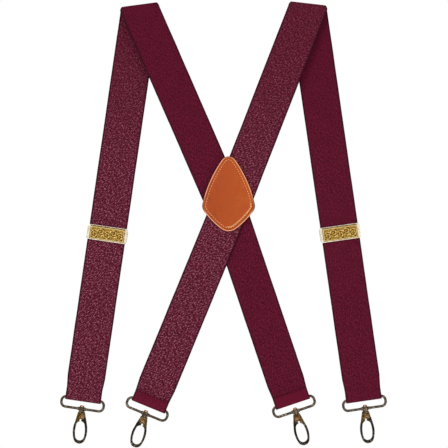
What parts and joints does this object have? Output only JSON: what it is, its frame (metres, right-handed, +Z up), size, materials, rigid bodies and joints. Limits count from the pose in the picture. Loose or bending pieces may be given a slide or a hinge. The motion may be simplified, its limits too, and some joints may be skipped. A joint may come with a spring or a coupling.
{
  "type": "suspenders",
  "caption": "X-back webbing suspenders with a leather back patch, sliding cam-cover adjusters and a swivel snap hook on a wire loop at each strap end, folded at the shoulders",
  "frame": {"origin": "the crossing of the back straps' centre lines, on the outer face of the back patch", "axes": "+Z up along the hanging straps, towards the shoulder folds; +Y through the thickness, from the back patch towards the front straps; +X to the right seen from -Y"},
  "size_m": [0.3285, 0.0197, 0.447],
  "materials": {
    "webbing": "heathered burgundy elastic webbing with dark selvedges",
    "leather": "tan full-grain leather, lightly waxed",
    "thread": "waxed thread",
    "antique_brass": "antiqued embossed brass",
    "dark_bronze": "dark antique bronze",
    "steel": "plain plated steel"
  },
  "bodies": {
    "back": {"back_patch_outer": "leather", "back_patch_inner": "leather", "patch_stitching": "thread", "hem_stitching": "thread", "back_strap_left": "webbing", "shoulder_bend_left": "webbing", "back_strap_right": "webbing", "shoulder_bend_right": "webbing"},
    "front_run_left": {"front_strap_left": "webbing"},
    "strap_end_left": {"strap_turn_left": "webbing", "return_run_left": "webbing"},
    "adjuster_left": {"adjuster_frame_left": "antique_brass", "adjuster_bar_left": "steel", "adjuster_pin_left": "steel"},
    "cover_left": {"adjuster_cover_left": "antique_brass"},
    "front_run_right": {"front_strap_right": "webbing"},
    "strap_end_right": {"strap_turn_right": "webbing", "return_run_right": "webbing"},
    "adjuster_right": {"adjuster_frame_right": "antique_brass", "adjuster_bar_right": "steel", "adjuster_pin_right": "steel"},
    "cover_right": {"adjuster_cover_right": "antique_brass"},
    "end_loop_front_left": {"loop_front_left": "dark_bronze"},
    "snap_hook_front_left": {"hook_front_left": "dark_bronze", "gate_pin_front_left": "steel", "gate_spring_front_left": "steel", "swivel_rivet_front_left": "antique_brass"},
    "snap_gate_front_left": {"gate_front_left": "dark_bronze"},
    "end_loop_front_right": {"loop_front_right": "dark_bronze"},
    "snap_hook_front_right": {"hook_front_right": "dark_bronze", "gate_pin_front_right": "steel", "gate_spring_front_right": "steel", "swivel_rivet_front_right": "antique_brass"},
    "snap_gate_front_right": {"gate_front_right": "dark_bronze"},
    "end_loop_back_left": {"loop_back_left": "dark_bronze"},
    "snap_hook_back_left": {"hook_back_left": "dark_bronze", "gate_pin_back_left": "steel", "gate_spring_back_left": "steel", "swivel_rivet_back_left": "antique_brass"},
    "snap_gate_back_left": {"gate_back_left": "dark_bronze"},
    "end_loop_back_right": {"loop_back_right": "dark_bronze"},
    "snap_hook_back_right": {"hook_back_right": "dark_bronze", "gate_pin_back_right": "steel", "gate_spring_back_right": "steel", "swivel_rivet_back_right": "antique_brass"},
    "snap_gate_back_right": {"gate_back_right": "dark_bronze"}
  },
  "joints": [
    {"name": "shoulder_fold_left", "type": "hinge", "parent": "back", "child": "front_run_left", "pos_m": [-0.0887, 0.0078, 0.2034], "axis": [0.9911, 0, 0.1328], "range_deg": [0, 180], "deforming": ["shoulder_bend_left"]},
    {"name": "take_up_left", "type": "slide", "parent": "front_run_left", "child": "strap_end_left", "axis": [-0.1443, 0, -0.9895], "range_m": [-0.075, 0.135], "deforming": ["front_strap_left"]},
    {"name": "adjuster_slide_left", "type": "slide", "parent": "strap_end_left", "child": "adjuster_left", "axis": [-0.1443, 0, -0.9895], "range_m": [-0.075, 0.135], "deforming": ["return_run_left"]},
    {"name": "cover_hinge_left", "type": "hinge", "parent": "adjuster_left", "child": "cover_left", "pos_m": [-0.12084, 0.00955, -0.01707], "axis": [-0.9895, 0, 0.1443], "range_deg": [0, 100]},
    {"name": "shoulder_fold_right", "type": "hinge", "parent": "back", "child": "front_run_right", "pos_m": [0.0797, 0.0064, 0.2045], "axis": [0.9935, 0, -0.1141], "range_deg": [0, 180], "deforming": ["shoulder_bend_right"]},
    {"name": "take_up_right", "type": "slide", "parent": "front_run_right", "child": "strap_end_right", "axis": [0.1424, 0, -0.9898], "range_m": [-0.075, 0.135], "deforming": ["front_strap_right"]},
    {"name": "adjuster_slide_right", "type": "slide", "parent": "strap_end_right", "child": "adjuster_right", "axis": [0.1424, 0, -0.9898], "range_m": [-0.075, 0.135], "deforming": ["return_run_right"]},
    {"name": "cover_hinge_right", "type": "hinge", "parent": "adjuster_right", "child": "cover_right", "pos_m": [0.11142, 0.00815, -0.01603], "axis": [-0.9898, 0, -0.1424], "range_deg": [0, 100]},
    {"name": "loop_hinge_front_left", "type": "hinge", "parent": "strap_end_left", "child": "end_loop_front_left", "pos_m": [-0.14577, 0.0138, -0.18803], "axis": [0.9895, 0, -0.1443], "range_deg": [-110, 110]},
    {"name": "hook_swivel_front_left", "type": "hinge", "parent": "end_loop_front_left", "child": "snap_hook_front_left", "pos_m": [-0.14727, 0.0138, -0.19832], "axis": [0.0837, 0, 0.9965], "continuous": true},
    {"name": "gate_hinge_front_left", "type": "hinge", "parent": "snap_hook_front_left", "child": "snap_gate_front_left", "pos_m": [-0.14703, 0.0138, -0.20627], "axis": [0, 1, 0], "range_deg": [0, 25], "stiffness_Nm_per_rad": 0.002, "springref_deg": -9.74},
    {"name": "loop_hinge_front_right", "type": "hinge", "parent": "strap_end_right", "child": "end_loop_front_right", "pos_m": [0.13607, 0.0124, -0.18743], "axis": [0.9898, 0, 0.1424], "range_deg": [-110, 110]},
    {"name": "hook_swivel_front_right", "type": "hinge", "parent": "end_loop_front_right", "child": "snap_hook_front_right", "pos_m": [0.13755, 0.0124, -0.19772], "axis": [-0.0976, 0, 0.9952], "continuous": true},
    {"name": "gate_hinge_front_right", "type": "hinge", "parent": "snap_hook_front_right", "child": "snap_gate_front_right", "pos_m": [0.13922, 0.0124, -0.2055], "axis": [0, 1, 0], "range_deg": [0, 25], "stiffness_Nm_per_rad": 0.002, "springref_deg": -9.74},
    {"name": "loop_hinge_back_left", "type": "hinge", "parent": "back", "child": "end_loop_back_left", "pos_m": [-0.07916, 0.0004, -0.19263], "axis": [0.9249, 0, -0.3801], "range_deg": [-110, 110]},
    {"name": "hook_swivel_back_left", "type": "hinge", "parent": "end_loop_back_left", "child": "snap_hook_back_left", "pos_m": [-0.08311, 0.0004, -0.20224], "axis": [0.3057, 0, 0.9521], "continuous": true},
    {"name": "gate_hinge_back_left", "type": "hinge", "parent": "snap_hook_back_left", "child": "snap_gate_back_left", "pos_m": [-0.08638, 0.0004, -0.20949], "axis": [0, -1, 0], "range_deg": [0, 25], "stiffness_Nm_per_rad": 0.002, "springref_deg": -9.74},
    {"name": "loop_hinge_back_right", "type": "hinge", "parent": "back", "child": "end_loop_back_right", "pos_m": [0.06404, 0.0018, -0.18996], "axis": [0.9476, 0, 0.3195], "range_deg": [-110, 110]},
    {"name": "hook_swivel_back_right", "type": "hinge", "parent": "end_loop_back_right", "child": "snap_hook_back_right", "pos_m": [0.06736, 0.0018, -0.19981], "axis": [-0.2706, 0, 0.9627], "continuous": true},
    {"name": "gate_hinge_back_right", "type": "hinge", "parent": "snap_hook_back_right", "child": "snap_gate_back_right", "pos_m": [0.06864, 0.0018, -0.20766], "axis": [0, -1, 0], "range_deg": [0, 25], "stiffness_Nm_per_rad": 0.002, "springref_deg": -9.74}
  ],
  "couplings": [
    {"joint": "adjuster_slide_left", "follows": "take_up_left", "ratio": 1},
    {"joint": "adjuster_slide_right", "follows": "take_up_right", "ratio": 1}
  ]
}
